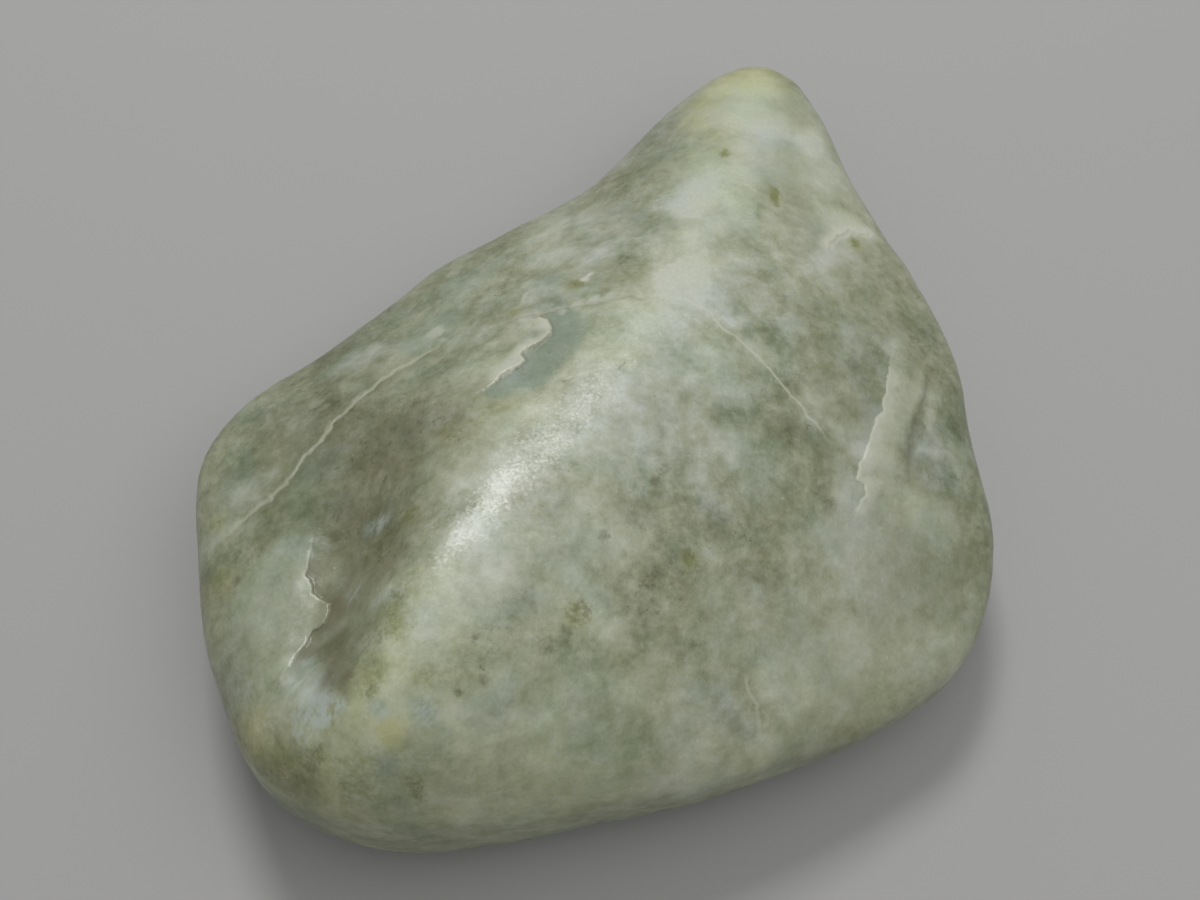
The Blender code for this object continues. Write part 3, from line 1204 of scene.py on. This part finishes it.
def mark(mesh):
    """Stores where each marking lies on the mesh's upper side, for the jade to read."""
    places = np.array([v.co[:] for v in mesh.vertices])
    low, high = UPWARD
    upward = ease((np.array([v.normal.z for v in mesh.vertices]) - low) / (high - low))
    x, y = places[:, 0], places[:, 1]
    edge = moved_about(x, y, RAGGED, RAGGED_LENGTH, RAGGED_SEED)
    soft = moved_about(x, y, WANDER, WANDER_LENGTH, WANDER_SEED)
    lip_across, lips = nearest_line(PALE_LINES, *edge)
    # The dark lines are mostly painted shade on the lower side of broken edges and cracks.
    dark_across, dark = nearest_line(SHADE_AND_DARK_LINES, *edge)
    markings = {
        "pale_and_painted_light": patches(PALE_AND_PAINTED_LIGHT_PATCHES, *soft),
        "green_and_rim_shade": patches(GREEN_AND_RIM_SHADE_PATCHES, *soft),
        "calm": patches(CALM_PATCHES, *soft),
        "cool": patches(COOL_PATCHES, *soft),
        "yellow": patches(YELLOW_PATCHES, *soft),
        "warm": patches(WARM_PATCHES, *soft),
        "shadow": patches(SHADOW_PATCHES, *soft),
        "ochre": patches(OCHRE_PATCHES, x, y),
        "blue": np.maximum(patches(BLUE_PATCHES, x, y), facet_cover(*edge)),
        "painted_glints": patches(GLINT_PATCHES, *edge),
        "white": patches(WHITE_SPOTS, *edge),
        "spots": patches(DARK_SPOTS, *edge),
        "olive": patches(OLIVE_FLECKS, *edge),
        "lips": lips,
        "dark": dark,
        "vein": vein_cover(*edge),
        "crest": crest_cover(x, y),
    }
    markings = {name: cover * upward for name, cover in markings.items()}
    markings |= {"lips_across": lip_across, "dark_across": dark_across}
    for name, values in markings.items():
        attribute = mesh.attributes.new(name, "FLOAT", "POINT")
        attribute.data.foreach_set("value", values.astype(np.float32))


# ---------------------------------------------------------------- jade


def linear(color):
    """An sRGB colour from 0 to 255 as a linear one with alpha."""
    shares = [c / 255 for c in color]
    return (*[s / 12.92 if s < 0.04045 else ((s + 0.055) / 1.055) ** 2.4 for s in shares], 1.0)


class Nodes:
    """Short ways to add and join the nodes of one material."""

    def __init__(self, material):
        self.tree = material.node_tree
        self.shader = self.tree.nodes["Principled BSDF"]
        texture = self.tree.nodes.new("ShaderNodeTexCoord")
        self.place = self.vector("MULTIPLY", texture.outputs["Object"], (1 / MM, 1 / MM, 1 / MM))

    def link(self, value, socket):
        if isinstance(value, bpy.types.NodeSocket):
            self.tree.links.new(value, socket)
        else:
            socket.default_value = value

    def vector(self, operation, a, b=(0, 0, 0)):
        node = self.tree.nodes.new("ShaderNodeVectorMath")
        node.operation = operation
        self.link(a, node.inputs[0])
        self.link(b, node.inputs[1])
        return node.outputs[0]

    def math(self, operation, a, b=0.0):
        node = self.tree.nodes.new("ShaderNodeMath")
        node.operation = operation
        self.link(a, node.inputs[0])
        self.link(b, node.inputs[1])
        return node.outputs[0]

    def times(self, a, b):
        return self.math("MULTIPLY", a, b)

    def sum(self, start, *terms):
        """The start plus each (value, share)."""
        for value, share in terms:
            start = self.math("ADD", start, self.times(value, share))
        return start

    def step(self, value, low, high):
        """0 below low and 1 above high, eased between them."""
        node = self.tree.nodes.new("ShaderNodeMapRange")
        node.interpolation_type = "SMOOTHSTEP"
        self.link(value, node.inputs["Value"])
        node.inputs["From Min"].default_value = low
        node.inputs["From Max"].default_value = high
        return node.outputs["Result"]

    def mix(self, share, a, b, blend="MIX"):
        node = self.tree.nodes.new("ShaderNodeMix")
        node.data_type = "RGBA"
        node.blend_type = blend
        self.link(share, node.inputs[0])
        self.link(a, node.inputs[6])
        self.link(b, node.inputs[7])
        return node.outputs[2]

    def ramp(self, value, stops):
        node = self.tree.nodes.new("ShaderNodeValToRGB")
        self.link(value, node.inputs[0])
        elements = node.color_ramp.elements
        while len(elements) < len(stops):
            elements.new(0.5)
        for element, (position, color) in zip(elements, stops):
            element.position = position
            element.color = linear(color)
        return node.outputs[0]

    def brighter(self, color, value):
        node = self.tree.nodes.new("ShaderNodeHueSaturation")
        self.link(value, node.inputs["Value"])
        self.link(color, node.inputs["Color"])
        return node.outputs[0]

    def marking(self, name):
        node = self.tree.nodes.new("ShaderNodeAttribute")
        node.attribute_name = name
        return node.outputs["Fac"]

    def noise(self, size, detail=4.0, roughness=0.6, distortion=0.0, shift=0.0, place=None):
        """Noise from 0 to 1 whose lumps are about this many millimetres across. The shift makes
        it unlike other noise of the same size."""
        node = self.tree.nodes.new("ShaderNodeTexNoise")
        place = self.place if place is None else place
        self.link(self.vector("ADD", place, (shift, shift, shift)), node.inputs["Vector"])
        node.inputs["Scale"].default_value = 1 / size
        node.inputs["Detail"].default_value = detail
        node.inputs["Roughness"].default_value = roughness
        node.inputs["Distortion"].default_value = distortion
        return node.outputs["Fac"]

    def grains(self, size):
        """Crystal grains, each with one random colour."""
        node = self.tree.nodes.new("ShaderNodeTexVoronoi")
        self.link(self.place, node.inputs["Vector"])
        node.inputs["Scale"].default_value = 1 / size
        return node.outputs["Color"]

    def stretched(self, angle, stretch):
        """Places squeezed along the direction at this angle, so that noise there forms streaks
        along it."""
        node = self.tree.nodes.new("ShaderNodeMapping")
        self.link(self.place, node.inputs["Vector"])
        node.vector_type = "TEXTURE"
        node.inputs["Rotation"].default_value = (0, 0, math.radians(angle))
        node.inputs["Scale"].default_value = (stretch, 1, 1)
        return node.outputs[0]


def mottled(nodes):
    """Jade from deep to pale and from olive to greener, in clouds, wisps and fine mottling."""
    clouds = nodes.noise(14, detail=6, distortion=0.4)
    wisps = nodes.noise(4, detail=6, roughness=0.65, distortion=0.3, shift=31)
    mottle = nodes.sum(-0.5, (nodes.noise(1.7, detail=5, roughness=0.7, shift=47), 1.0))
    contrast = nodes.sum(0.6, (nodes.marking("pale_and_painted_light"), -0.25), (nodes.marking("green_and_rim_shade"), 0.2))
    uneven = nodes.sum(-0.6, (clouds, 0.5), (wisps, 0.7), (mottle, contrast))
    tone = nodes.sum(
        0.5,
        (uneven, nodes.sum(1.0, (nodes.marking("calm"), -0.65))),
        # The pale share is partly painted light.
        (nodes.marking("pale_and_painted_light"), 0.27),
        # The crest's share is a painted highlight over paler worn jade.
        (nodes.marking("crest"), 0.2),
        # The green share is partly painted shade at the back-left rim.
        (nodes.marking("green_and_rim_shade"), -0.2),
    )
    hue = nodes.sum(
        nodes.noise(11, detail=6, roughness=0.62, distortion=0.5, shift=71),
        (nodes.marking("blue"), 0.2),
        (nodes.marking("warm"), -0.16),
    )
    return nodes.mix(
        nodes.step(hue, 0.36, 0.68), nodes.ramp(tone, OLIVE_TONES), nodes.ramp(tone, GREEN_TONES)
    )


def flecked(nodes, color):
    """Small dark flecks, pale flecks of painted sparkle, and the fine grain of the crystals."""
    dark = nodes.sum(
        nodes.noise(1.1, detail=5, roughness=0.75, shift=11),
        (nodes.marking("green_and_rim_shade"), 0.07),
        (nodes.marking("ochre"), 0.06),
        (nodes.marking("shadow"), 0.03),
        (nodes.marking("pale_and_painted_light"), -0.1),
        (nodes.marking("calm"), -0.1),
        (nodes.marking("crest"), -0.04),
    )
    color = nodes.mix(nodes.times(nodes.step(dark, 0.58, 0.72), 0.6), color, linear(DARK_FLECK))
    # Painted sparkle: pale flecks, more of them on the crest.
    fine = nodes.noise(0.6, detail=3, roughness=0.7, shift=23)
    sparks = nodes.sum(fine, (nodes.marking("crest"), 0.05))
    color = nodes.mix(nodes.times(nodes.step(sparks, 0.64, 0.76), 0.4), color, linear(PAINTED_SPARKLE_COLOR))
    speckle = nodes.noise(1.2, detail=5, roughness=0.75, shift=5)
    grain = nodes.sum(0.85, (nodes.grains(COLOR_GRAIN), 0.1), (speckle, 0.2))
    return nodes.brighter(color, grain)


def stained(nodes, color):
    """The hollow's painted shade over browner jade, the cool, yellow and ochre tints, and the small
    stains.
    """
    middle = nodes.noise(3, detail=5, roughness=0.65, distortion=0.3, shift=57)
    fine = nodes.noise(1.0, roughness=0.75, shift=63)
    along_hollow = nodes.stretched(STREAKS_AZIMUTH, STREAK_STRETCH)
    streaks = nodes.noise(1.6, roughness=0.65, distortion=0.2, shift=19, place=along_hollow)
    # Painted shade in the hollow, over browner jade, broken into streaks.
    hollow = nodes.times(nodes.marking("shadow"), nodes.sum(0.4, (streaks, 0.9)))
    color = nodes.mix(nodes.times(hollow, 0.75), color, linear(SHADOW_COLOR))
    cool = nodes.times(nodes.marking("cool"), nodes.sum(0.1, (middle, 1.5)))
    color = nodes.mix(cool, color, COOL_TINT, "MULTIPLY")
    yellow = nodes.times(nodes.marking("yellow"), nodes.sum(0.4, (middle, 1.2)))
    color = nodes.mix(yellow, color, YELLOW_TINT, "MULTIPLY")
    ochre = nodes.times(nodes.marking("ochre"), nodes.sum(-0.2, (middle, 1.4), (fine, 0.9)))
    color = nodes.mix(nodes.step(ochre, 0.1, 0.9), color, OCHRE_TINT, "MULTIPLY")
    for name, start, middle_share, fine_share, low, high, most, stain in SMALL_STAINS:
        uneven = nodes.sum(start, (middle, middle_share), (fine, fine_share))
        cover = nodes.step(nodes.times(nodes.marking(name), uneven), low, high)
        color = nodes.mix(nodes.times(cover, most), color, linear(stain))
    flecks = nodes.sum(-0.55, (nodes.marking("olive"), 0.7), (fine, 1.0))
    return nodes.mix(nodes.times(nodes.step(flecks, 0.3, 0.85), 0.7), color, linear(OLIVE_FLECK))


def glinting(nodes, color):
    """Painted glints: silvery streaks of painted highlight on the chips at the near end of the
    hollow.
    """
    along_chips = nodes.stretched(GLINTS_AZIMUTH, STREAK_STRETCH)
    streaks = nodes.noise(1.1, roughness=0.65, distortion=0.2, shift=29, place=along_chips)
    glints = nodes.times(nodes.marking("painted_glints"), nodes.step(streaks, 0.42, 0.54))
    return nodes.mix(nodes.times(glints, 0.8), color, linear(GLINT_COLOR))


def line_cover(nodes, name, ragged):
    """How strongly a pale lip, or a dark line of mostly painted edge shade, shows, fading over its
    reach, with a ragged outline.
    """
    across = nodes.math("ABSOLUTE", nodes.marking(name + "_across"))
    value = nodes.sum(0.4, (across, -1.0), (ragged, 1.2))
    return nodes.times(nodes.step(value, -0.15, 0.95), nodes.marking(name))


def jade_color(nodes):
    """The whole colour: the stained and flecked jade, then the vein, the dark lines of mostly
    painted edge shade and the pale lips.
    """
    color = flecked(nodes, glinting(nodes, stained(nodes, mottled(nodes))))
    worn = nodes.noise(0.9, roughness=0.7, shift=91)
    ragged = nodes.sum(-0.1, (worn, 0.5), (nodes.noise(3.5, detail=3, shift=83), 0.7))
    vein = nodes.times(nodes.marking("vein"), nodes.sum(-0.1, (worn, 0.6), (ragged, 0.8)))
    color = nodes.mix(vein, color, linear(VEIN_COLOR))
    # Mostly painted shade along the lower sides of broken edges and cracks.
    dark = line_cover(nodes, "dark", ragged)
    color = nodes.mix(dark, color, linear(EDGE_SHADE_AND_DARK_LINE_COLOR))
    return nodes.mix(line_cover(nodes, "lips", ragged), color, linear(LIP_COLOR))


def jade_relief(nodes):
    """Sugary crystal grain, strongest on the worn crest, over faint dents."""
    geometry = nodes.tree.nodes.new("ShaderNodeNewGeometry")
    tilt = nodes.vector("SUBTRACT", nodes.grains(GLOSS_GRAIN), (0.5, 0.5, 0.5))
    amount = nodes.sum(GRAIN_TILT, (nodes.marking("crest"), CREST_GRAIN_TILT))
    scale = nodes.tree.nodes.new("ShaderNodeVectorMath")
    scale.operation = "SCALE"
    nodes.link(tilt, scale.inputs[0])
    nodes.link(amount, scale.inputs["Scale"])
    tilted = nodes.vector("ADD", geometry.outputs["Normal"], scale.outputs[0])
    bump = nodes.tree.nodes.new("ShaderNodeBump")
    bump.inputs["Strength"].default_value = 1.0
    bump.inputs["Distance"].default_value = DENT_DEPTH
    nodes.link(nodes.vector("NORMALIZE", tilted), bump.inputs["Normal"])
    nodes.link(nodes.noise(1.6, detail=5, roughness=0.65, shift=19), bump.inputs["Height"])
    return bump.outputs["Normal"]


def jade():
    material = bpy.data.materials.new("jade_surface")
    material.use_nodes = True
    nodes = Nodes(material)
    shader = nodes.shader
    nodes.link(jade_color(nodes), shader.inputs["Base Color"])
    nodes.link(jade_relief(nodes), shader.inputs["Normal"])
    gloss = nodes.noise(3, shift=43)
    roughness = nodes.sum(LEAST_ROUGHNESS, (gloss, MORE_ROUGHNESS))
    nodes.link(roughness, shader.inputs["Roughness"])
    shader.inputs["IOR"].default_value = IOR
    shader.inputs["Subsurface Weight"].default_value = SUBSURFACE
    shader.inputs["Subsurface Radius"].default_value = SUBSURFACE_RADIUS
    shader.inputs["Subsurface Scale"].default_value = SUBSURFACE_DEPTH
    return material


# ---------------------------------------------------------------- the stone in its place


def stone():
    mesh = skin_mesh()
    mark(mesh)
    mesh.materials.append(jade())
    skin = bpy.data.objects.new("jade_skin", mesh)
    bpy.context.scene.collection.objects.link(skin)
    return skin


def place(skin):
    """Moves the skin sideways onto its solid, and returns the move."""
    low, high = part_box("jade_boulder")
    places = np.array([v.co[:] for v in skin.data.vertices])
    middle = Vector((places.min(axis=0) + places.max(axis=0)) / 2)
    move = (low + high) / 2 - middle
    move.z = 0
    for vertex in skin.data.vertices:
        vertex.co += move
    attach(skin, "root")
    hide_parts("jade_boulder")
    return move


# ---------------------------------------------------------------- studio


def plain_material(name, color, roughness):
    material = bpy.data.materials.new(name)
    material.use_nodes = True
    shader = material.node_tree.nodes["Principled BSDF"]
    shader.inputs["Base Color"].default_value = color
    shader.inputs["Roughness"].default_value = roughness
    return material


def floor():
    bpy.ops.mesh.primitive_plane_add(size=FLOOR_SIZE)
    ground = bpy.context.object
    ground.name = "floor"
    ground.data.materials.append(plain_material("floor_paper", FLOOR_COLOR, FLOOR_ROUGHNESS))


def softbox(aim, name, place, size, watts):
    light = bpy.data.lights.new(name, "AREA")
    light.size = size
    light.energy = watts
    box = bpy.data.objects.new(name, light)
    box.location = place
    box.rotation_mode = "QUATERNION"
    box.rotation_quaternion = (Vector(place) - aim).to_track_quat("Z", "Y")
    bpy.context.scene.collection.objects.link(box)


def lights(aim):
    for box in SOFTBOXES:
        softbox(aim, *box)
    world = bpy.data.worlds.new("soft_room")
    world.use_nodes = True
    background = world.node_tree.nodes["Background"]
    background.inputs["Color"].default_value = ROOM_COLOR
    background.inputs["Strength"].default_value = ROOM_STRENGTH
    bpy.context.scene.world = world


def camera(move):
    """The camera, and the place that it aims at."""
    aim = Vector(CAMERA_AIM) * MM + move
    elevation = math.radians(CAMERA_ELEVATION)
    back = Vector((0, -math.cos(elevation), math.sin(elevation)))
    data = bpy.data.cameras.new("camera")
    data.lens = LENS
    data.sensor_width = SENSOR
    data.clip_start = NEAREST_SEEN
    viewer = bpy.data.objects.new("camera", data)
    viewer.location = aim + back * CAMERA_DISTANCE
    viewer.rotation_mode = "QUATERNION"
    viewer.rotation_quaternion = back.to_track_quat("Z", "Y")
    bpy.context.scene.collection.objects.link(viewer)
    bpy.context.scene.camera = viewer
    return aim


for obj in list(bpy.data.objects):
    bpy.data.objects.remove(obj)
noise.seed_set(NOISE_SEED)
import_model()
move = place(stone())
floor()
lights(camera(move))
bpy.context.scene.view_settings.view_transform = "Standard"
bpy.context.view_layer.update()
